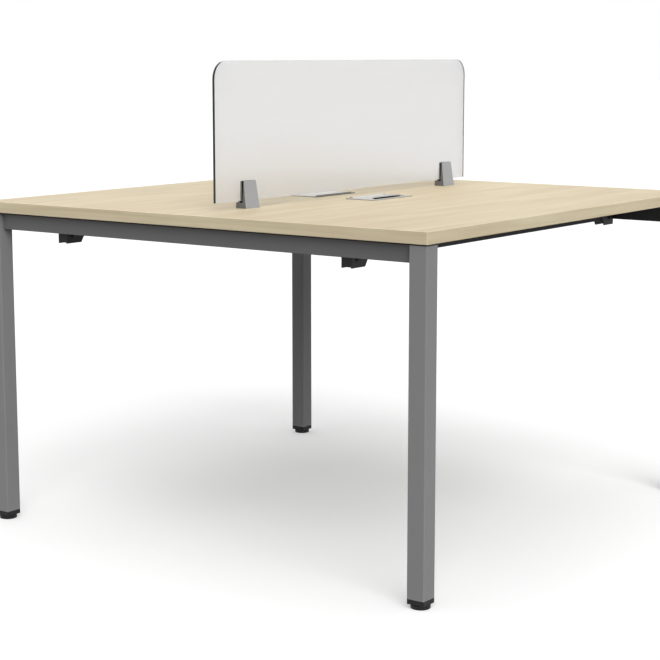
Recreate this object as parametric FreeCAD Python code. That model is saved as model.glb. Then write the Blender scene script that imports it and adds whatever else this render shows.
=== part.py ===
import FreeCAD, Part
import math
import os
from FreeCAD import Vector

# Two-person work table with a frosted screen between the places and two hinged cable covers.
# Millimetres. Z up from the floor, origin on the floor under the middle of the worktop.
# X runs along the screen. The front place is on the -Y side, the rear place on the +Y side.

# worktop
top_side = 1200.0
top_thick = 25.0
top_height = 745.0
band_thick = 2.0
band_edge_r = 1.0
top_corner_r = 2.0

# legs and feet
leg_side = 40.0
leg_wall = 2.0
leg_corner_r = 2.0
leg_inset = 3.5
cap_height = 10.0
cap_plug_deep = 25.0
cap_plug_gap = 0.3
pad_height = 9.5
pad_r = 20.0
pad_rim = 8.0
pad_bevel = 1.2
pad_crown_r = 17.5
pad_seat = 4.0
stud_r = 5.0
stud_top = 62.0
stud_bevel = 0.8
stud_run_gap = 0.05
foot_nut_flats = 17.0
foot_nut_height = 8.0

# frame
tube_wall = 2.0
tube_edge_r = 1.5
beam_wide = 20.0
beam_setback = 12.0
beam_end_gap = 1.0
left_beam_deep = 35.5
right_beam_deep = 47.0
rail_wide = 20.0
rail_deep = 50.0
rail_from_edge = 211.3

# black strips and leg caps that keep the frame clear of the worktop
top_gap = 3.0
strip_inset = 2.5
top_cap_inset = 1.0
top_cap_lip = 2.0

# brackets that carry the rails on the side beams
bracket_plate = 3.0
bracket_end_plate = 3.0
bracket_drop = 12.3
bracket_reach = 45.8
bracket_slant_share = 0.64
bracket_cheek_down = 20.0
bracket_end_down = 4.0
bracket_end_lift = 2.0
bracket_edge_r = 1.5
bracket_bolt_down = 23.0
cross_bolt_up = 4.7
cross_bolt_in = 19.5

# screws and bolts
hole_gap = 0.3
m6_r = 2.7
m6_head_r = 5.0
m6_head_high = 4.0
m6_nut_r = 6.0
m6_nut_high = 5.0
m6_end = 2.0
m5_r = 2.2
m5_head_r = 4.2
m5_head_high = 2.6
m5_nut_flats = 8.0
m5_nut_high = 4.0
m5_end = 1.5
socket_flats_share = 0.8
socket_deep_share = 0.55
top_screw_r = 2.25
top_screw_long = 18.0
top_screw_head_r = 4.8
top_screw_head_high = 3.2
driver_hole_r = 6.0
rail_screw_share = 0.71
beam_screw_share = 0.45
plug_long = 16.0
plug_gap = 0.3
plug_bolt_share = 0.28
plug_bolt_long = 14.0

# screen and its clamps
screen_wide = 1004.0
screen_high = 300.0
screen_thick = 6.0
screen_lift = 17.0
screen_corner_r = 40.0
clamp_in_left = 114.0
clamp_in_right = 88.0
clamp_base_x = 49.0
clamp_base_y = 27.4
clamp_top_x = 42.0
clamp_top_y = 12.0
clamp_high = 59.5
clamp_edge_r = 1.0
clamp_toe = 3.0
clamp_waist_share = 0.55
clamp_waist_y = 9.3
clamp_foot_high = 13.0
clamp_rear_y = 8.8
liner_side = 1.0
liner_floor = 5.0
grub_r = 2.2
grub_long = 3.2
grub_up = 23.0
grub_x = 11.0
clamp_bolt_x = 14.0
clamp_bolt_in = 9.5

# cable covers; v is the distance from the screen plane towards the user
cover_end_strip = 17.0
cover_v_near = 42.0
cover_v_far = 122.0
cover_plate = 2.0
cover_corner_r = 3.0
cover_edge_r = 0.5
open_half_x = 63.0
open_v_far = 113.5
hinge_v = 49.0
barrel_r = 2.5
pin_r = 1.25
pin_gap = 0.05
side_gap = 0.5
barrel_gap = 0.3
ear_long = 5.5
lid_v_far = 103.0
hood_v = 76.0
hood_rise = 4.0
hood_end_run = 8.0
hood_side = 2.0
sleeve_wall = 1.5
sleeve_gap = 0.4
sleeve_deep = 23.0
sleeve_corner_r = 3.0
sleeve_past = 1.5
sleeve_v_near = 45.7
sleeve_past_v = 1.0
ledge_in = 6.0
ledge_v_near = 58.0
ledge_v_far = 74.0
ledge_deep = 8.0
cover_screw_out = 8.5
cover_screw_r = 1.6
cover_screw_head_r = 3.2
cover_screw_long = 14.0
cover_socket_r = 1.1
cover_socket_deep = 0.9

# values that follow from those above
half_top = top_side / 2
top_under = top_height - top_thick
frame_top = top_under - top_gap
leg_bottom = pad_height + cap_height
leg_out = half_top - leg_inset
leg_in = leg_out - leg_side
leg_mid = (leg_out + leg_in) / 2
beam_out = leg_out - beam_setback
beam_in = beam_out - beam_wide
beam_mid = (beam_out + beam_in) / 2
rail_end = beam_in - bracket_end_plate
rail_offset = half_top - rail_from_edge
rail_screw_x = rail_end * rail_screw_share
beam_screw_y = leg_in * beam_screw_share
rail_bottom = top_under - rail_deep
bracket_bottom = rail_bottom - bracket_drop
bracket_cheek_top = top_under - bracket_cheek_down
bracket_end_top = top_under - bracket_end_down
bracket_bolt_z = top_under - bracket_bolt_down
cross_bolt_z = rail_bottom + cross_bolt_up
cheek_out = rail_wide / 2 + bracket_plate
screen_bottom = top_height + screen_lift
clamp_top = top_height + clamp_high
slot_floor = screen_bottom - liner_floor
slot_half = screen_thick / 2 + liner_side
clamp_x_left = clamp_in_left - screen_wide / 2
clamp_x_right = screen_wide / 2 - clamp_in_right
grub_z = top_height + grub_up
clamp_bolt_top = top_height + clamp_bolt_in
cover_top = top_height + cover_plate
cover_half_x = open_half_x + cover_end_strip
cover_screw_x = open_half_x + cover_screw_out
sleeve_half_x = open_half_x + sleeve_past
sleeve_v_far = open_v_far + sleeve_past_v
cover_v_mid = (cover_v_near + cover_v_far) / 2
far_beyond = top_side

corners = (("front_left", -1, -1), ("front_right", 1, -1), ("rear_left", -1, 1), ("rear_right", 1, 1))


def block(x0, x1, y0, y1, z0, z1):
    return Part.makeBox(x1 - x0, y1 - y0, z1 - z0, Vector(x0, y0, z0))


def edges_along(shape, axis):
    found = []
    for edge in shape.Edges:
        if isinstance(edge.Curve, Part.Line) and abs(abs(edge.Curve.Direction.dot(axis)) - 1) < 1e-6:
            found.append(edge)
    return found


def round_block(x0, x1, y0, y1, z0, z1, r, axis=Vector(0, 0, 1)):
    shape = block(x0, x1, y0, y1, z0, z1)
    return shape.makeFillet(r, edges_along(shape, axis))


def rod(r, start, along, length):
    return Part.makeCylinder(r, length, start, along)


def prism(points, along):
    return Part.Face(Part.makePolygon(points + points[:1])).extrude(along)


def hex_rod(flats, length):
    out = flats / 2 / math.cos(math.pi / 6)
    points = [Vector(out * math.cos(k * math.pi / 3), out * math.sin(k * math.pi / 3), 0) for k in range(6)]
    return prism(points, Vector(0, 0, length))


def aim(shape, at, along):
    placed = shape.copy()
    placed.Placement = FreeCAD.Placement(at, FreeCAD.Rotation(Vector(0, 0, 1), along))
    return placed


def bolt(r, length, head_r, head_high):
    # the shank runs along +Z from the origin and the head lies below it
    up = Vector(0, 0, 1)
    shape = rod(r, Vector(0, 0, 0), up, length).fuse(rod(head_r, Vector(0, 0, -head_high), up, head_high))
    socket = hex_rod(head_r * socket_flats_share, head_high * socket_deep_share)
    socket.translate(Vector(0, 0, -head_high))
    return shape.cut(socket).removeSplitter()


def nut(outside, bore_r, high):
    return outside.cut(rod(bore_r, Vector(0, 0, 0), Vector(0, 0, 1), high))


def mirrored(shape, sx, sy):
    if sx < 0:
        shape = shape.mirror(Vector(0, 0, 0), Vector(1, 0, 0))
    if sy < 0:
        shape = shape.mirror(Vector(0, 0, 0), Vector(0, 1, 0))
    return shape


def turned(shape):
    # the front cover is the rear one turned half round
    placed = shape.copy()
    placed.rotate(Vector(0, 0, 0), Vector(0, 0, 1), 180)
    return placed


def beam_depth(sx):
    return left_beam_deep if sx < 0 else right_beam_deep


def beam_bolt_heights(sx):
    mid = frame_top - beam_depth(sx) / 2
    step = beam_depth(sx) * plug_bolt_share
    return (mid - step, mid + step)


# worktop and edge bands

def worktop_blank():
    blank = round_block(-half_top, half_top, -half_top, half_top, top_under, top_height, top_corner_r)
    rims = [e for e in blank.Edges if abs(e.BoundBox.ZMax - e.BoundBox.ZMin) < 1e-6]
    return blank.makeFillet(band_edge_r, rims)


def rail_screw_spots():
    return [(x, sy * rail_offset) for sy in (-1, 1) for x in (-rail_screw_x, 0, rail_screw_x)]


def beam_screw_spots():
    return [(sx * beam_mid, sy * beam_screw_y) for sx in (-1, 1) for sy in (-1, 1)]


def clamp_bolt_spots():
    return [mid + side * clamp_bolt_x for mid in (clamp_x_left, clamp_x_right) for side in (-1, 1)]


def sleeve_outline(grow, z0, z1, r):
    return round_block(-sleeve_half_x - grow, sleeve_half_x + grow, sleeve_v_near - grow,
                       sleeve_v_far + grow, z0, z1, r)


def worktop():
    core = half_top - band_thick
    up = Vector(0, 0, 1)
    board = block(-core, core, -core, core, top_under, top_height)
    grow = sleeve_wall + sleeve_gap
    cutout = sleeve_outline(grow, top_under, top_height, sleeve_corner_r + grow)
    tools = [cutout, turned(cutout)]
    for x, y in rail_screw_spots() + beam_screw_spots():
        tools.append(rod(top_screw_r + hole_gap, Vector(x, y, top_under), up, top_screw_long + hole_gap))
    for x in clamp_bolt_spots():
        tools.append(rod(m6_r + hole_gap, Vector(x, 0, top_under), up, top_thick))
    deep = cover_screw_long + hole_gap
    for sx, side in ((-1, -1), (1, -1), (-1, 1), (1, 1)):
        at = Vector(sx * cover_screw_x, side * cover_v_mid, top_height - deep)
        tools.append(rod(cover_screw_r + hole_gap, at, up, deep))
    return board.cut(tools)


def edge_bands():
    core = half_top - band_thick
    rim = worktop_blank()
    side = rim.common(block(core, half_top, -half_top, half_top, top_under, top_height))
    end = rim.common(block(-core, core, core, half_top, top_under, top_height))
    return {"edge_band_left": mirrored(side, -1, 1), "edge_band_right": side,
            "edge_band_front": mirrored(end, 1, -1), "edge_band_rear": end}


# legs and feet

def leg(sx, sy):
    tube = round_block(leg_in, leg_out, leg_in, leg_out, leg_bottom, frame_top, leg_corner_r)
    tube = tube.cut(block(leg_in + leg_wall, leg_out - leg_wall, leg_in + leg_wall, leg_out - leg_wall,
                          leg_bottom, frame_top))
    for z in beam_bolt_heights(sx):
        tube = tube.cut(rod(m6_r + hole_gap, Vector(beam_mid, leg_in, z), Vector(0, 1, 0), leg_wall))
    return mirrored(tube, sx, sy)


def top_cap(sx, sy):
    plate = (leg_in + top_cap_inset, leg_out - top_cap_inset)
    cap = round_block(*plate, *plate, frame_top, top_under, leg_corner_r)
    lip = (leg_in + leg_wall + cap_plug_gap, leg_out - leg_wall - cap_plug_gap)
    return mirrored(cap.fuse(block(*lip, *lip, frame_top - top_cap_lip, frame_top)), sx, sy)


def foot_cap(sx, sy):
    inside = leg_wall + cap_plug_gap
    cap = round_block(leg_in, leg_out, leg_in, leg_out, pad_height, leg_bottom, leg_corner_r)
    plug_top = leg_bottom + cap_plug_deep
    cap = cap.fuse(block(leg_in + inside, leg_out - inside, leg_in + inside, leg_out - inside,
                         leg_bottom, plug_top))
    cap = cap.cut(rod(stud_r + hole_gap, Vector(leg_mid, leg_mid, pad_height), Vector(0, 0, 1),
                      cap_height + cap_plug_deep))
    pocket = hex_rod(foot_nut_flats + 2 * hole_gap, foot_nut_height)
    pocket.translate(Vector(leg_mid, leg_mid, plug_top - foot_nut_height))
    return mirrored(cap.cut(pocket), sx, sy)


def foot_nut(sx, sy):
    shape = nut(hex_rod(foot_nut_flats, foot_nut_height), stud_r + stud_run_gap, foot_nut_height)
    z = leg_bottom + cap_plug_deep - foot_nut_height
    shape.translate(Vector(sx * leg_mid, sy * leg_mid, z))
    return shape


def spun(points, x, y):
    face = Part.Face(Part.makePolygon([Vector(r, 0, z) for r, z in points + points[:1]]))
    shape = face.revolve(Vector(0, 0, 0), Vector(0, 0, 1), 360)
    shape.translate(Vector(x, y, 0))
    return shape


def glide_pad(sx, sy):
    hole_r = stud_r + hole_gap
    points = [(0, 0), (pad_r - pad_bevel, 0), (pad_r, pad_bevel), (pad_r, pad_rim),
              (pad_crown_r, pad_height), (hole_r, pad_height), (hole_r, pad_seat), (0, pad_seat)]
    return spun(points, sx * leg_mid, sy * leg_mid)


def glide_stud(sx, sy):
    points = [(0, pad_seat), (stud_r, pad_seat), (stud_r, stud_top - stud_bevel),
              (stud_r - stud_bevel, stud_top), (0, stud_top)]
    return spun(points, sx * leg_mid, sy * leg_mid)


# side beams and the bolts that join them to the legs

def tube_with_screw_holes(x0, x1, y0, y1, z0, z1, axis, spots):
    across = Vector(tube_wall, tube_wall, tube_wall) - axis * tube_wall
    tube = round_block(x0, x1, y0, y1, z0, z1, tube_edge_r, axis)
    tube = tube.cut(block(x0 + across.x, x1 - across.x, y0 + across.y, y1 - across.y,
                          z0 + across.z, z1 - across.z))
    for x, y in spots:
        up = Vector(0, 0, 1)
        tube = tube.cut(rod(driver_hole_r, Vector(x, y, z0), up, tube_wall))
        tube = tube.cut(rod(top_screw_r + hole_gap, Vector(x, y, z1 - tube_wall), up, tube_wall))
    return tube


def side_beam(sx):
    spots = [(beam_mid, side * beam_screw_y) for side in (-1, 1)]
    end = leg_in - beam_end_gap
    tube = tube_with_screw_holes(beam_in, beam_out, -end, end, frame_top - beam_depth(sx), frame_top,
                                 Vector(0, 1, 0), spots)
    for side in (-1, 1):
        at = Vector(beam_in, side * rail_offset, bracket_bolt_z)
        tube = tube.cut(rod(m6_r + hole_gap, at, Vector(1, 0, 0), tube_wall))
    return mirrored(tube, sx, 1)


def beam_plugs(sx):
    inside = tube_wall + plug_gap
    bottom = frame_top - beam_depth(sx)
    plug = block(beam_in + inside, beam_out - inside, leg_in - plug_long, leg_in,
                 bottom + inside, frame_top - inside)
    for z in beam_bolt_heights(sx):
        at = Vector(beam_mid, leg_in - plug_long, z)
        plug = plug.cut(rod(m6_r + hole_gap, at, Vector(0, 1, 0), plug_long))
    return [mirrored(plug, sx, sy) for sy in (-1, 1)]


def top_strip(sx):
    end = leg_in - strip_inset
    strip = block(beam_in + strip_inset, beam_out - strip_inset, -end, end, frame_top, top_under)
    for side in (-1, 1):
        strip = strip.cut(rod(top_screw_r + hole_gap, Vector(beam_mid, side * beam_screw_y, frame_top),
                              Vector(0, 0, 1), top_gap))
    return mirrored(strip, sx, 1)


def frame_bolts():
    one = bolt(m6_r, leg_wall + plug_bolt_long, m6_head_r, m6_head_high)
    placed = []
    for _, sx, sy in corners:
        for z in beam_bolt_heights(sx):
            at = Vector(sx * beam_mid, sy * (leg_in + leg_wall), z)
            placed.append(aim(one, at, Vector(0, -sy, 0)))
    return placed


# rails and their brackets

def rail(sy):
    spots = [(x, rail_offset) for x in (-rail_screw_x, 0, rail_screw_x)]
    tube = tube_with_screw_holes(-rail_end, rail_end, rail_offset - rail_wide / 2,
                                 rail_offset + rail_wide / 2, rail_bottom, top_under,
                                 Vector(1, 0, 0), spots)
    for side in (-1, 1):
        at = Vector(side * (beam_in - cross_bolt_in), rail_offset - rail_wide / 2, cross_bolt_z)
        tube = tube.cut(rod(m5_r + hole_gap, at, Vector(0, 1, 0), rail_wide))
    return mirrored(tube, 1, sy)


def bracket(sx, sy):
    low_in = beam_in - bracket_reach
    high_in = low_in - (bracket_cheek_top - bracket_bottom) * bracket_slant_share
    y0 = rail_offset - cheek_out
    side = prism([Vector(beam_in, y0, bracket_bottom), Vector(beam_in, y0, bracket_cheek_top),
                  Vector(high_in, y0, bracket_cheek_top), Vector(low_in, y0, bracket_bottom)],
                 Vector(0, 2 * cheek_out, 0))
    ends = [e for e in edges_along(side, Vector(0, 1, 0)) if e.BoundBox.XMax < rail_end]
    side = side.makeFillet(bracket_edge_r, ends)
    side = side.fuse(block(rail_end, beam_in, y0, y0 + 2 * cheek_out, bracket_bottom, bracket_end_top))
    inner = rail_wide / 2
    side = side.cut(block(high_in, rail_end, rail_offset - inner, rail_offset + inner,
                          bracket_bottom, top_height))
    side = side.cut(block(rail_end, beam_in, rail_offset - inner, rail_offset + inner,
                          bracket_bottom, bracket_bottom + bracket_end_lift))
    side = side.cut(rod(m6_r + hole_gap, Vector(rail_end, rail_offset, bracket_bolt_z),
                        Vector(1, 0, 0), bracket_end_plate))
    side = side.cut(rod(m5_r + hole_gap, Vector(beam_in - cross_bolt_in, y0, cross_bolt_z),
                        Vector(0, 1, 0), 2 * cheek_out))
    return mirrored(side.removeSplitter(), sx, sy)


def bracket_bolts():
    long = bracket_end_plate + tube_wall + m6_nut_high + m6_end
    one = bolt(m6_r, long, m6_head_r, m6_head_high)
    return [aim(one, Vector(sx * rail_end, sy * rail_offset, bracket_bolt_z), Vector(sx, 0, 0))
            for _, sx, sy in corners]


def bracket_nuts():
    up = Vector(0, 0, 1)
    one = nut(rod(m6_nut_r, Vector(0, 0, 0), up, m6_nut_high), m6_r + hole_gap, m6_nut_high)
    return [aim(one, Vector(sx * (beam_in + tube_wall), sy * rail_offset, bracket_bolt_z),
                Vector(sx, 0, 0)) for _, sx, sy in corners]


def cross_bolts():
    one = bolt(m5_r, 2 * cheek_out + m5_nut_high + m5_end, m5_head_r, m5_head_high)
    return [aim(one, Vector(sx * (beam_in - cross_bolt_in), sy * (rail_offset + cheek_out), cross_bolt_z),
                Vector(0, -sy, 0)) for _, sx, sy in corners]


def cross_nuts():
    one = nut(hex_rod(m5_nut_flats, m5_nut_high), m5_r + hole_gap, m5_nut_high)
    return [aim(one, Vector(sx * (beam_in - cross_bolt_in), sy * (rail_offset - cheek_out), cross_bolt_z),
                Vector(0, -sy, 0)) for _, sx, sy in corners]


def top_screws():
    one = bolt(top_screw_r, tube_wall + top_screw_long, top_screw_head_r, top_screw_head_high)
    heads = [Vector(x, y, top_under - tube_wall) for x, y in rail_screw_spots()]
    heads += [Vector(x, y, frame_top - tube_wall) for x, y in beam_screw_spots()]
    return [aim(one, head, Vector(0, 0, 1)) for head in heads]


# screen, clamps and liners

def screen_panel():
    half = screen_wide / 2
    top = screen_bottom + screen_high
    panel = block(-half, half, -screen_thick / 2, screen_thick / 2, screen_bottom, top)
    uprights = [e for e in edges_along(panel, Vector(0, 1, 0)) if e.BoundBox.ZMin > screen_bottom]
    return panel.makeFillet(screen_corner_r, uprights)


def clamp_body(x):
    # seen from the end: a front jaw that flares to its toe, and a rear jaw that stands on a low foot
    half_y = clamp_base_y / 2
    half_top_y = clamp_top_y / 2
    foot_top = top_height + clamp_foot_high
    corners_yz = [(-half_top_y, clamp_top), (half_top_y, clamp_top), (clamp_rear_y, foot_top),
                  (half_y, foot_top), (half_y, top_height), (-half_y, top_height),
                  (-half_y, top_height + clamp_toe)]
    points = [Vector(x - clamp_base_x, y, z) for y, z in corners_yz]
    waist = Vector(points[0].x, -clamp_waist_y, top_height + clamp_high * clamp_waist_share)
    flare = Part.Arc(points[-1], waist, points[0]).toShape()
    outline = Part.Wire([flare] + Part.makePolygon(points).Edges)
    body = Part.Face(outline).extrude(Vector(2 * clamp_base_x, 0, 0))
    wide, narrow = clamp_base_x / 2, clamp_top_x / 2
    taper = prism([Vector(x - wide, -half_y, top_height), Vector(x + wide, -half_y, top_height),
                   Vector(x + narrow, -half_y, clamp_top), Vector(x - narrow, -half_y, clamp_top)],
                  Vector(0, 2 * half_y, 0))
    body = body.common(taper)
    uprights = [e for e in body.Edges if e.BoundBox.ZMax - e.BoundBox.ZMin > clamp_high / 2]
    return body.makeFillet(clamp_edge_r, uprights)


def clamp_slot(half, floor):
    return block(-far_beyond, far_beyond, -half, half, floor, clamp_top)


def clamp(x):
    body = clamp_body(x).cut(clamp_slot(slot_half, slot_floor))
    for side in (-1, 1):
        at = Vector(x + side * grub_x, slot_half, grub_z)
        body = body.cut(rod(grub_r + hole_gap, at, Vector(0, 1, 0), clamp_base_y))
        at = Vector(x + side * clamp_bolt_x, 0, top_height)
        body = body.cut(rod(m6_r + hole_gap, at, Vector(0, 0, 1), clamp_bolt_top + hole_gap - top_height))
    return body


def clamp_liner(x):
    gap = clamp_slot(slot_half, slot_floor).cut(clamp_slot(screen_thick / 2, screen_bottom))
    return clamp_body(x).common(gap)


def grub_screws():
    one = rod(grub_r, Vector(0, 0, 0), Vector(0, 0, 1), grub_long)
    socket = hex_rod(grub_r, grub_long / 2)
    socket.translate(Vector(0, 0, grub_long / 2))
    one = one.cut(socket)
    return [aim(one, Vector(x + side * grub_x, slot_half, grub_z), Vector(0, 1, 0))
            for x in (clamp_x_left, clamp_x_right) for side in (-1, 1)]


def clamp_bolts():
    one = bolt(m6_r, clamp_bolt_top - top_under, m6_head_r, m6_head_high)
    return [aim(one, Vector(x, 0, top_under), Vector(0, 0, 1)) for x in clamp_bolt_spots()]


# cable covers, drawn for the rear place

def cover_frame():
    half = cover_half_x
    plate = round_block(-half, half, cover_v_near, cover_v_far, top_height, cover_top, cover_corner_r)
    rim = [e for e in plate.Edges if e.BoundBox.ZMin > top_height]
    plate = plate.makeFillet(cover_edge_r, rim)
    ears = rod(barrel_r, Vector(-open_half_x - ear_long, hinge_v, cover_top), Vector(1, 0, 0),
               2 * (open_half_x + ear_long))
    ears = ears.common(block(-half, half, cover_v_near, cover_v_far, top_height, cover_top + barrel_r))
    plate = plate.fuse(ears)
    opening = block(-open_half_x, open_half_x, hinge_v - barrel_r - barrel_gap, open_v_far,
                    top_height, cover_top + barrel_r)
    plate = plate.cut(opening)
    bore = rod(pin_r + pin_gap, Vector(-half, hinge_v, cover_top), Vector(1, 0, 0), 2 * half)
    plate = plate.cut(bore)
    for sx in (-1, 1):
        at = Vector(sx * cover_screw_x, cover_v_mid, top_height)
        plate = plate.cut(Part.makeCone(cover_screw_r + hole_gap, cover_screw_head_r + hole_gap,
                                        cover_plate, at, Vector(0, 0, 1)))
    return plate.removeSplitter()


def hood(end_half, low, v0):
    # a roof that rises towards the user, with sloping ends
    v1 = lid_v_far
    roof = prism([Vector(-end_half, v0, low), Vector(-end_half, v1, low + hood_rise),
                  Vector(-end_half, v1, low)], Vector(2 * end_half, 0, 0))
    top_half = end_half - hood_end_run
    ends = prism([Vector(-end_half, v0, low), Vector(end_half, v0, low),
                  Vector(top_half, v0, low + hood_rise), Vector(-top_half, v0, low + hood_rise)],
                 Vector(0, v1 - v0, 0))
    return roof.common(ends)


def cover_lid():
    half = open_half_x - side_gap
    lid = block(-half, half, hinge_v, lid_v_far, top_height, cover_top)
    lid = lid.fuse(hood(half, cover_top, hood_v))
    lid = lid.cut(hood(half - hood_side, top_height, hood_v))
    along = Vector(1, 0, 0)
    lid = lid.fuse(rod(barrel_r, Vector(-half, hinge_v, cover_top), along, 2 * half))
    lid = lid.cut(rod(pin_r + pin_gap, Vector(-half, hinge_v, cover_top), along, 2 * half))
    return lid.removeSplitter()


def hinge_pin():
    half = open_half_x + ear_long
    return rod(pin_r, Vector(-half, hinge_v, cover_top), Vector(1, 0, 0), 2 * half)


def cover_sleeve():
    bottom = top_height - sleeve_deep
    sleeve = sleeve_outline(sleeve_wall, bottom, top_height, sleeve_corner_r + sleeve_wall)
    sleeve = sleeve.cut(sleeve_outline(0, bottom, top_height, sleeve_corner_r))
    for sx in (-1, 1):
        ledge = block(sleeve_half_x - ledge_in, sleeve_half_x + sleeve_wall / 2, ledge_v_near, ledge_v_far,
                      top_height - ledge_deep, top_height)
        sleeve = sleeve.fuse(mirrored(ledge, sx, 1))
    return sleeve.removeSplitter()


def cover_screws():
    up = Vector(0, 0, 1)
    shank = rod(cover_screw_r, Vector(0, 0, -cover_screw_long), up, cover_screw_long)
    head = Part.makeCone(cover_screw_r, cover_screw_head_r, cover_plate, Vector(0, 0, 0), up)
    socket = rod(cover_socket_r, Vector(0, 0, cover_plate - cover_socket_deep), up, cover_socket_deep)
    one = shank.fuse(head).cut(socket)
    placed = []
    for sx, side in ((-1, -1), (1, -1), (-1, 1), (1, 1)):
        copy = one.copy()
        copy.translate(Vector(sx * cover_screw_x, side * cover_v_mid, top_height))
        placed.append(copy)
    return placed


def save(name, shapes):
    shape = shapes[0] if len(shapes) == 1 else Part.makeCompound(shapes)
    shape.exportStep("parts/" + name + ".step")


def build():
    os.makedirs("parts", exist_ok=True)
    save("worktop", [worktop()])
    for name, band in edge_bands().items():
        save(name, [band])
    for corner, sx, sy in corners:
        save("leg_" + corner, [leg(sx, sy)])
        save("foot_cap_" + corner, [foot_cap(sx, sy)])
        save("glide_pad_" + corner, [glide_pad(sx, sy)])
        save("glide_stud_" + corner, [glide_stud(sx, sy)])
        save("rail_bracket_" + corner, [bracket(sx, sy)])
    save("foot_nuts", [foot_nut(sx, sy) for _, sx, sy in corners])
    save("leg_top_caps", [top_cap(sx, sy) for _, sx, sy in corners])
    save("top_strips", [top_strip(-1), top_strip(1)])
    for side, sx in (("left", -1), ("right", 1)):
        save("side_beam_" + side, [side_beam(sx)])
        save("beam_plugs_" + side, beam_plugs(sx))
    save("frame_bolts", frame_bolts())
    save("rail_front", [rail(-1)])
    save("rail_rear", [rail(1)])
    save("bracket_bolts", bracket_bolts())
    save("bracket_nuts", bracket_nuts())
    save("cross_bolts", cross_bolts())
    save("cross_nuts", cross_nuts())
    save("top_screws", top_screws())
    save("screen_panel", [screen_panel()])
    for side, x in (("left", clamp_x_left), ("right", clamp_x_right)):
        save("screen_clamp_" + side, [clamp(x)])
        save("clamp_liner_" + side, [clamp_liner(x)])
    save("grub_screws", grub_screws())
    save("clamp_bolts", clamp_bolts())
    for place, put in (("rear", lambda shape: shape), ("front", turned)):
        save("cover_frame_" + place, [put(cover_frame())])
        save("cover_sleeve_" + place, [put(cover_sleeve())])
        save("cover_lid_" + place, [put(cover_lid())])
        save("hinge_pin_" + place, [put(hinge_pin())])
    save("cover_screws", cover_screws())


build()
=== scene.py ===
import math

import bmesh
import bpy
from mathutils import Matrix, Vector


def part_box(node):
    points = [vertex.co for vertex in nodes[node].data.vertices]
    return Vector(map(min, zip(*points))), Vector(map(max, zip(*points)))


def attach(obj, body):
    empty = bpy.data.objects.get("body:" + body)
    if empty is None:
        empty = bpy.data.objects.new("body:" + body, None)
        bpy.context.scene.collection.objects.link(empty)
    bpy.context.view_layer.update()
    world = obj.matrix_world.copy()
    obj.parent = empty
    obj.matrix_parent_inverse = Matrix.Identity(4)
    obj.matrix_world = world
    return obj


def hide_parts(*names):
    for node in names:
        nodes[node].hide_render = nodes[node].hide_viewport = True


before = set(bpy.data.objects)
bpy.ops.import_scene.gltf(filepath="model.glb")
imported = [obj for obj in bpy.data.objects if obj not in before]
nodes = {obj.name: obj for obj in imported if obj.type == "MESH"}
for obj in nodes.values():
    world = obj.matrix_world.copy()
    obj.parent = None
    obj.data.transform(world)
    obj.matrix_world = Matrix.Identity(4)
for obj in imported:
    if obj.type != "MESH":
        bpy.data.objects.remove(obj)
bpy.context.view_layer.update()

# Two-person work table. Metres, the CAD frame: X along the screen, the front place on the -Y side.

CORNERS = ("front_left", "front_right", "rear_left", "rear_right")
PLACES = ("front", "rear")
SIDES = ("left", "right")

# camera, solved from the photograph's straight edges; angles in degrees, lens in millimetres
CAMERA_PLACE = (-3.3477, -2.3605, 1.0774)
CAMERA_HEADING = 35.87
CAMERA_DIP = 9.05
CAMERA_LENS = 94.77
CAMERA_SENSOR = 36.0

# lamps: level, then heading, rise and spread in degrees; with the sky they give
# a level of about 1 on a white surface that faces up in the open
LAMPS = {
    "key": (1.28, 228.0, 80.0, 66.0),
    "fill": (2.00, 231.0, 33.0, 48.0),
    "back": (0.30, 50.0, 50.0, 60.0),
}
SKY_LEVEL = 0.20

# floor: where it is seen, paint and glow come to a little over white; what it throws back is less
FLOOR_SEEN = 0.78
FLOOR_GLOW = 0.32
FLOOR_BOUNCE = 0.12
FLOOR_REACH = 60.0

# screen: its rounded upper corners, its rims, and the pads that are seen through it
SCREEN_CORNER = 0.040
CORNER_STEPS = 18
RIM_BEVEL = 0.0003
RIM_STEPS = 2
PAD_MARGIN = 0.001
PAD_BELOW_TOP = 0.0005

# how much of a face's normal lies along an axis: more than this on the sheet's front and rear,
# on the sheet's two ends and on a clamp's sawn ends, and less than this on a cover's cut edges
FACE_NORMAL = 0.9
END_NORMAL = 0.35
SAWN_NORMAL = 0.7
CUT_NORMAL = 0.6

# a cover's cut edge nearer to the table's middle than this gets painted shade, for the dark beside
# its hinge
HINGE_SHADE_REACH = 0.049


def srgb(red, green, blue):
    """A colour read as 0 to 255 on screen, as the linear value that a shader takes."""
    levels = [v / 255 for v in (red, green, blue)]
    return tuple(v / 12.92 if v <= 0.04045 else ((v + 0.055) / 1.055) ** 2.4
                 for v in levels) + (1.0,)


def grey(level):
    """A grey at a linear level."""
    return (level, level, level, 1.0)


def even(count):
    """A pattern that is equally fine along all three axes."""
    return (count, count, count)


# colours; where there are two, a fine pattern runs between them
WHITE = grey(1.0)
MAPLE = srgb(217, 203, 172)
MAPLE_WARM = srgb(208, 191, 160)
MAPLE_DARK = srgb(194, 178, 144)
# the edge bands are the worktop's maple made lighter: painted light on their upright faces
BAND_PAINTED_LIGHT = (1.31, 1.33, 1.36)
LEG_GREY = (srgb(148, 148, 149), srgb(144, 144, 145))
# the side beam's grey is the legs' grey made darker: painted shade under the worktop's overhang
BEAM_GREY_PAINTED_SHADE = (srgb(116, 116, 117), srgb(112, 112, 113))
PAINT_BLACK = (srgb(29, 29, 30), srgb(24, 24, 25))
# the rails' black is the frame's black made darker: painted shade under the worktop
RAIL_BLACK_PAINTED_SHADE = (srgb(20, 18, 17), srgb(16, 15, 14))
MOULDED_BLACK = (srgb(12, 12, 13), srgb(22, 22, 23))
CLAMP_FACE = (srgb(171, 173, 178), srgb(165, 167, 172))
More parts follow.
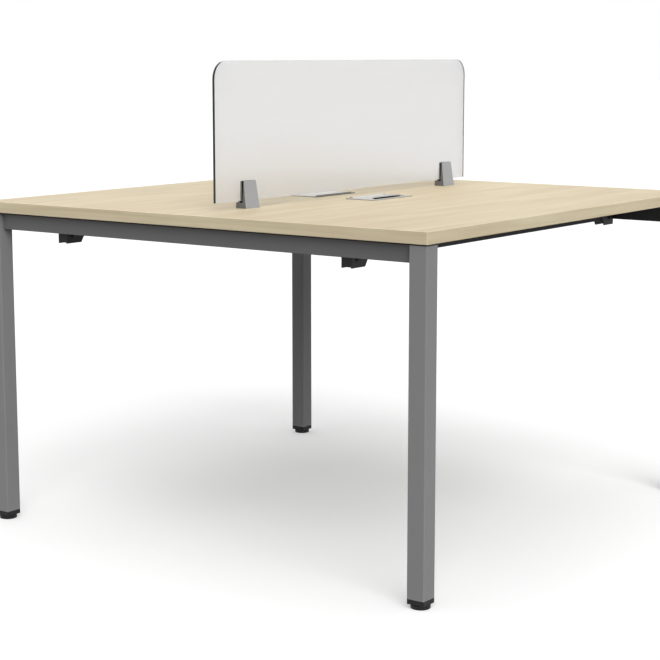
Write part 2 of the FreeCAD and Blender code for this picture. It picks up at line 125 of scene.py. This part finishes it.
# the clamps' end faces are darker than their sides: painted shade
CLAMP_END_PAINTED_SHADE = srgb(112, 111, 109)
COVER_FACE = (srgb(205, 203, 197), srgb(197, 195, 189))
# the covers' cut edges: painted shade on the frame's, a painted highlight on the lid's, and darker
# painted shade beside the hinge
FRAME_EDGE_PAINTED_SHADE = srgb(150, 148, 143)
LID_EDGE_PAINTED_HIGHLIGHT = srgb(222, 221, 218)
HINGE_EDGE_PAINTED_SHADE = srgb(58, 57, 56)
ZINC = (srgb(190, 190, 192), srgb(160, 160, 166))
FROSTED = srgb(239, 239, 240)
CLEAR = srgb(250, 250, 250)
# the sheet's polished ends: painted shade, dark as they look from along the sheet
RIM_PAINTED_SHADE = (srgb(22, 23, 22), srgb(34, 36, 34))

# how fine each pattern is, as a count to the metre: along the maple's grain and across it
MAPLE_FIGURE = (2.2, 19.0)
MAPLE_STREAKS = (3.0, 85.0)
MAPLE_PORES = (14.0, 700.0)
# and along X, Y and Z
METAL_LINES = (14.0, 1400.0, 1400.0)
SAW_LINES = (60.0, 2600.0, 60.0)
PAINT_PEEL = even(420.0)
PAINT_CLOUD = even(9.0)
MOULD_GRAIN = even(900.0)
ZINC_CLOUD = even(160.0)
SAND = even(1500.0)


class Wire:
    """A shader socket that can be written into sums."""

    def __init__(self, board, socket):
        self.board = board
        self.socket = socket

    def maths(self, operation, *values):
        return self.board.node("Math", dict(enumerate(values)), operation=operation)

    def __add__(self, other):
        return self.maths("ADD", self, other)

    __radd__ = __add__

    def __sub__(self, other):
        return self.maths("SUBTRACT", self, other)

    def __rsub__(self, other):
        return self.maths("SUBTRACT", other, self)

    def __mul__(self, other):
        return self.maths("MULTIPLY", self, other)

    __rmul__ = __mul__

    def __gt__(self, other):
        return self.maths("GREATER_THAN", self, other)

    def __lt__(self, other):
        return self.maths("LESS_THAN", self, other)

    def __abs__(self):
        return self.maths("ABSOLUTE", self)


class Board:
    """A node tree, with one method that makes every node."""

    def __init__(self, tree):
        self.tree = tree

    def node(self, kind, inputs=(), out=0, **settings):
        made = self.tree.nodes.new("ShaderNode" + kind)
        for name, value in settings.items():
            setattr(made, name, value)
        for key, value in dict(inputs).items():
            self.feed(made.inputs[key], value)
        return Wire(self, made.outputs[out])

    def feed(self, socket, value):
        if isinstance(value, Wire):
            self.tree.links.new(value.socket, socket)
        else:
            socket.default_value = value


class Finish(Board):
    """A material on the principled shader."""

    def __init__(self, name, **constants):
        self.material = bpy.data.materials.new(name)
        self.material.use_nodes = True
        super().__init__(self.material.node_tree)
        self.shader = self.tree.nodes["Principled BSDF"]
        for socket, value in constants.items():
            self.shader.inputs[socket.replace("_", " ")].default_value = value

    def set(self, socket, value):
        self.feed(self.shader.inputs[socket], value)

    def noise(self, fineness, detail=2.0, **more):
        spot = self.node("TexCoord", out="Object")
        place = self.node("Mapping", {"Vector": spot, "Scale": fineness})
        inputs = {"Vector": place, "Scale": 1.0, "Detail": detail, **more}
        return self.node("TexNoise", inputs, out="Fac")

    def along(self, kind, vector, axis):
        """One number of where the surface is, or of which way it faces."""
        return self.node("SeparateXYZ", {0: self.node(kind, out=vector)}, out=axis)

    def spread(self, value, start=0.0, end=1.0, low=0.0, high=1.0):
        """Carry start to end over to low to high, and hold the ends."""
        return self.node("MapRange", {0: value, 1: start, 2: end, 3: low, 4: high})

    def mix(self, share, first, second):
        return self.node("Mix", {0: share, 6: first, 7: second}, out=2, data_type="RGBA")

    def bump(self, height, depth, strength):
        inputs = {"Height": height, "Distance": depth, "Strength": strength}
        self.set("Normal", self.node("Bump", inputs))


# finishes

def with_painted_light(colour, painted_light):
    return tuple(min(v * t, 1.0) for v, t in zip(colour, painted_light)) + (1.0,)


def maple(name, along_x, painted_light=(1.0, 1.0, 1.0), streak=0.5):
    """Maple laminate: broad soft figure, streaks and fine pores, drawn out along the grain; on the
    bands all three colours are lightened as painted light.
    """
    def grain(counts):
        long, across = counts
        return (long, across, across) if along_x else (across, long, across)
    finish = Finish(name, Roughness=0.5, Specular_IOR_Level=0.2)
    figure = finish.noise(grain(MAPLE_FIGURE), detail=3.0, Distortion=0.5)
    streaks = finish.noise(grain(MAPLE_STREAKS), detail=4.0)
    pores = finish.noise(grain(MAPLE_PORES))
    tone = finish.spread(figure, start=0.36, end=0.64)
    base = finish.mix(tone, with_painted_light(MAPLE, painted_light), with_painted_light(MAPLE_WARM, painted_light))
    depth = finish.spread(streaks, start=0.42, end=0.72, high=streak)
    pore = finish.spread(pores, start=0.55, end=0.8, high=0.25)
    finish.set("Base Color", finish.mix(depth + pore, base, with_painted_light(MAPLE_DARK, painted_light)))
    finish.bump(pores + streaks, depth=0.00006, strength=0.5)
    return finish.material


def powder_coat(name, colours, rough):
    """Powder coat: the fine orange peel of sprayed and baked paint."""
    finish = Finish(name, Roughness=rough, Specular_IOR_Level=0.3)
    peel = finish.noise(PAINT_PEEL)
    cloud = finish.noise(PAINT_CLOUD)
    finish.set("Base Color", finish.mix(cloud, *colours))
    finish.bump(peel, depth=0.00012, strength=0.35)
    return finish.material


def moulded_black(name, rough):
    """Black nylon or rubber, with the fine grain of its mould."""
    finish = Finish(name, Roughness=rough, Specular_IOR_Level=0.3)
    grain = finish.noise(MOULD_GRAIN, detail=1.0)
    finish.set("Base Color", finish.mix(grain, *MOULDED_BLACK))
    finish.bump(grain, depth=0.00008, strength=0.4)
    return finish.material


def satin_metal(name, colours, low, high):
    """Satin aluminium with fine lines along X, and the colour of its plain faces."""
    finish = Finish(name, Metallic=0.45)
    lines = finish.noise(METAL_LINES)
    finish.set("Roughness", finish.spread(lines, low=low, high=high))
    finish.bump(lines, depth=0.00002, strength=0.4)
    return finish, finish.mix(lines, *colours)


def clamp_metal(name):
    """The clamps: lengths of a drawn bar, with the lines of its die, and painted shade on their
    end faces.
    """
    finish, face = satin_metal(name, CLAMP_FACE, low=0.44, high=0.58)
    shaded_end = abs(finish.along("NewGeometry", "Normal", "X")) > SAWN_NORMAL
    finish.set("Base Color", finish.mix(shaded_end, face, CLAMP_END_PAINTED_SHADE))
    return finish.material


def cover_metal(name, edge):
    """The covers: brushed along the lid; their cut edges carry painted shade on the frame and a
    painted highlight on the lid, and painted shade beside the hinge.
    """
    finish, face = satin_metal(name, COVER_FACE, low=0.38, high=0.50)
    in_hinge_shade = abs(finish.along("TexCoord", "Object", "Y")) < HINGE_SHADE_REACH
    edges = finish.mix(in_hinge_shade, edge, HINGE_EDGE_PAINTED_SHADE)
    cut = abs(finish.along("NewGeometry", "Normal", "Z")) < CUT_NORMAL
    finish.set("Base Color", finish.mix(cut, face, edges))
    return finish.material


def zinc(name):
    """Zinc plate, a little cloudy."""
    finish = Finish(name, Metallic=1.0)
    cloud = finish.noise(ZINC_CLOUD, detail=3.0)
    finish.set("Base Color", finish.mix(cloud, *ZINC))
    finish.set("Roughness", finish.spread(cloud, low=0.28, high=0.45))
    return finish.material


def frosted(name):
    """Acrylic with a satin front and a frosted rear face."""
    finish = Finish(name, Base_Color=FROSTED, Transmission_Weight=0.76, IOR=1.3)
    sand = finish.noise(SAND, detail=1.0)
    rear = finish.along("TexCoord", "Object", "Y") > 0.0
    frost = finish.spread(sand, low=0.46, high=0.56)
    satin = finish.spread(sand, low=0.06, high=0.10)
    finish.set("Roughness", frost * rear + satin * (1.0 - rear))
    return finish.material


def clear(name):
    """The clear patch of the sheet's front face, under which the clamp's pad is seen."""
    finish = Finish(name, Base_Color=CLEAR, Transmission_Weight=1.0, IOR=1.3)
    sand = finish.noise(SAND, detail=1.0)
    finish.set("Roughness", finish.spread(sand, low=0.03, high=0.06))
    return finish.material


def polished_edge(name):
    """The polished ends of the sheet, with painted shade: dark as they look when one looks along
    the sheet through them.
    """
    finish = Finish(name, IOR=1.49)
    saw = finish.noise(SAW_LINES)
    finish.set("Base Color", finish.mix(saw, *RIM_PAINTED_SHADE))
    finish.set("Roughness", finish.spread(saw, low=0.16, high=0.30))
    finish.bump(saw, depth=0.00002, strength=0.3)
    return finish.material


def dress(material, *names):
    for name in names:
        slots = nodes[name].data.materials
        slots.clear()
        slots.append(material)


def every(stem, ends):
    return [stem + "_" + end for end in ends]


dress(maple("maple_top", along_x=True), "worktop")
dress(maple("maple_band_long_painted_light", along_x=True, painted_light=BAND_PAINTED_LIGHT, streak=0.8),
      "edge_band_front", "edge_band_rear")
dress(maple("maple_band_side_painted_light", along_x=False, painted_light=BAND_PAINTED_LIGHT, streak=0.8),
      "edge_band_left", "edge_band_right")
dress(powder_coat("grey_paint", LEG_GREY, rough=0.5), *every("leg", CORNERS))
dress(powder_coat("grey_paint_beam_painted_shade", BEAM_GREY_PAINTED_SHADE, rough=0.5), "side_beam_left")
dress(powder_coat("black_paint", PAINT_BLACK, rough=0.55),
      "side_beam_right", "cross_bolts", "cross_nuts", *every("rail_bracket", CORNERS))
dress(powder_coat("black_paint_rail_painted_shade", RAIL_BLACK_PAINTED_SHADE, rough=0.65), *every("rail", PLACES))
dress(moulded_black("black_nylon", rough=0.5),
      "leg_top_caps", "top_strips", *every("cover_sleeve", PLACES),
      *every("foot_cap", CORNERS), *every("glide_pad", CORNERS))
rubber = moulded_black("black_rubber", rough=0.7)
dress(rubber, *every("clamp_liner", SIDES))
dress(clamp_metal("clamp_metal"), *every("screen_clamp", SIDES))
dress(cover_metal("cover_frame_metal", FRAME_EDGE_PAINTED_SHADE), *every("cover_frame", PLACES))
dress(cover_metal("cover_lid_metal", LID_EDGE_PAINTED_HIGHLIGHT), *every("cover_lid", PLACES))
dress(zinc("zinc_plate"),
      "foot_nuts", "beam_plugs_left", "beam_plugs_right", "frame_bolts", "bracket_bolts",
      "bracket_nuts", "top_screws", "grub_screws", "clamp_bolts", "cover_screws",
      *every("hinge_pin", PLACES), *every("glide_stud", CORNERS))


def put(name, data):
    """A new thing in the scene."""
    thing = bpy.data.objects.new(name, data)
    bpy.context.scene.collection.objects.link(thing)
    return thing


def put_mesh(name, mesh_in_work, *materials):
    """A bmesh made into a new thing, with the finishes that its faces count through."""
    mesh = bpy.data.meshes.new(name)
    mesh_in_work.to_mesh(mesh)
    mesh_in_work.free()
    for material in materials:
        mesh.materials.append(material)
    return put(name, mesh)


# the screen

def pad_areas(sheet):
    """Cut the sheet along the outline of the pads, and return their outlines."""
    across, upward = Vector((1, 0, 0)), Vector((0, 0, 1))
    areas = []
    for side in SIDES:
        low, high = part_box("screen_clamp_" + side)
        area = (low[0] - PAD_MARGIN, high[0] + PAD_MARGIN, high[2] - PAD_BELOW_TOP)
        for place, axis in zip(area, (across, across, upward)):
            bmesh.ops.bisect_plane(sheet, geom=sheet.verts[:] + sheet.edges[:] + sheet.faces[:],
                                   plane_co=axis * place, plane_no=axis)
        areas.append(area)
    return areas


def screen():
    """The sheet again, in the CAD panel's box, with a finish for each kind of face."""
    low, high = (Vector(corner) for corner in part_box("screen_panel"))
    middle = (low + high) / 2
    sheet = bmesh.new()
    bmesh.ops.create_cube(sheet, size=1.0)
    bmesh.ops.scale(sheet, vec=high - low, verts=sheet.verts)
    bmesh.ops.translate(sheet, vec=middle, verts=sheet.verts)
    shoulders = [e for e in sheet.edges if all(v.co.z > middle.z for v in e.verts)
                 and abs(e.verts[0].co.x - e.verts[1].co.x) < RIM_BEVEL]
    bmesh.ops.bevel(sheet, geom=shoulders, offset=SCREEN_CORNER, offset_type="OFFSET",
                    segments=CORNER_STEPS, profile=0.5, affect="EDGES", material=-1)
    rims = [e for e in sheet.edges
            if len({abs(f.normal.y) > FACE_NORMAL for f in e.link_faces}) == 2]
    bmesh.ops.bevel(sheet, geom=rims, offset=RIM_BEVEL, offset_type="OFFSET",
                    segments=RIM_STEPS, profile=0.5, affect="EDGES", material=-1)
    areas = pad_areas(sheet)
    frost, rim, pad, patch = range(4)
    for face in sheet.faces:
        at = face.calc_center_median()
        by_pad = any(left < at.x < right and at.z < top for left, right, top in areas)
        if abs(face.normal.x) > END_NORMAL:
            face.material_index = rim
        elif abs(face.normal.y) > FACE_NORMAL and by_pad:
            face.material_index = pad if face.normal.y > 0 else patch
        else:
            face.material_index = frost
    piece = put_mesh("screen", sheet, frosted("frosted_acrylic"), polished_edge("polished_rim_painted_shade"),
                     rubber, clear("clear_acrylic"))
    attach(piece, "table")
    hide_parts("screen_panel")


screen()


# floor, light and camera

def seen_white(board):
    """1 where the camera sees the surface itself, in metal or through the screen."""
    straight, mirrored, through = (board.node("LightPath", out="Is " + kind + " Ray")
                                   for kind in ("Camera", "Glossy", "Transmission"))
    return board.node("Math", {0: straight + mirrored, 1: through},
                      operation="ADD", use_clamp=True)


def floor():
    sheet = bmesh.new()
    bmesh.ops.create_grid(sheet, x_segments=1, y_segments=1, size=FLOOR_REACH)
    paint = Finish("floor_paint", Roughness=0.9, Specular_IOR_Level=0.0, Emission_Color=WHITE)
    seen = seen_white(paint)
    paint.set("Base Color", paint.mix(seen, grey(FLOOR_BOUNCE), grey(FLOOR_SEEN)))
    paint.set("Emission Strength", seen * FLOOR_GLOW)
    put_mesh("floor", sheet, paint.material)


def sky():
    """White where it is seen, and fainter as a light."""
    world = bpy.data.worlds.new("sky")
    bpy.context.scene.world = world
    world.use_nodes = True
    board = Board(world.node_tree)
    background = world.node_tree.nodes["Background"].inputs
    board.feed(background["Strength"], SKY_LEVEL + seen_white(board) * (1.0 - SKY_LEVEL))
    board.feed(background["Color"], WHITE)


def direction(heading, rise):
    turn, lift = math.radians(heading), math.radians(rise)
    return Vector((math.cos(turn) * math.cos(lift), math.sin(turn) * math.cos(lift),
                   math.sin(lift)))


def aim(thing, towards):
    thing.rotation_euler = towards.to_track_quat("-Z", "Y").to_euler()


def soft_light(name, level, heading, rise, spread):
    lamp = bpy.data.lights.new(name, "SUN")
    lamp.energy = level
    lamp.angle = math.radians(spread)
    aim(put(name, lamp), -direction(heading, rise))


def camera():
    lens = bpy.data.cameras.new("camera")
    lens.lens = CAMERA_LENS
    lens.sensor_width = CAMERA_SENSOR
    lens.clip_end = 2 * FLOOR_REACH
    holder = put("camera", lens)
    holder.location = CAMERA_PLACE
    aim(holder, direction(CAMERA_HEADING, -CAMERA_DIP))
    bpy.context.scene.camera = holder


floor()
sky()
for lamp_name, lamp_setting in LAMPS.items():
    soft_light(lamp_name, *lamp_setting)
camera()
bpy.context.scene.view_settings.view_transform = "Standard"
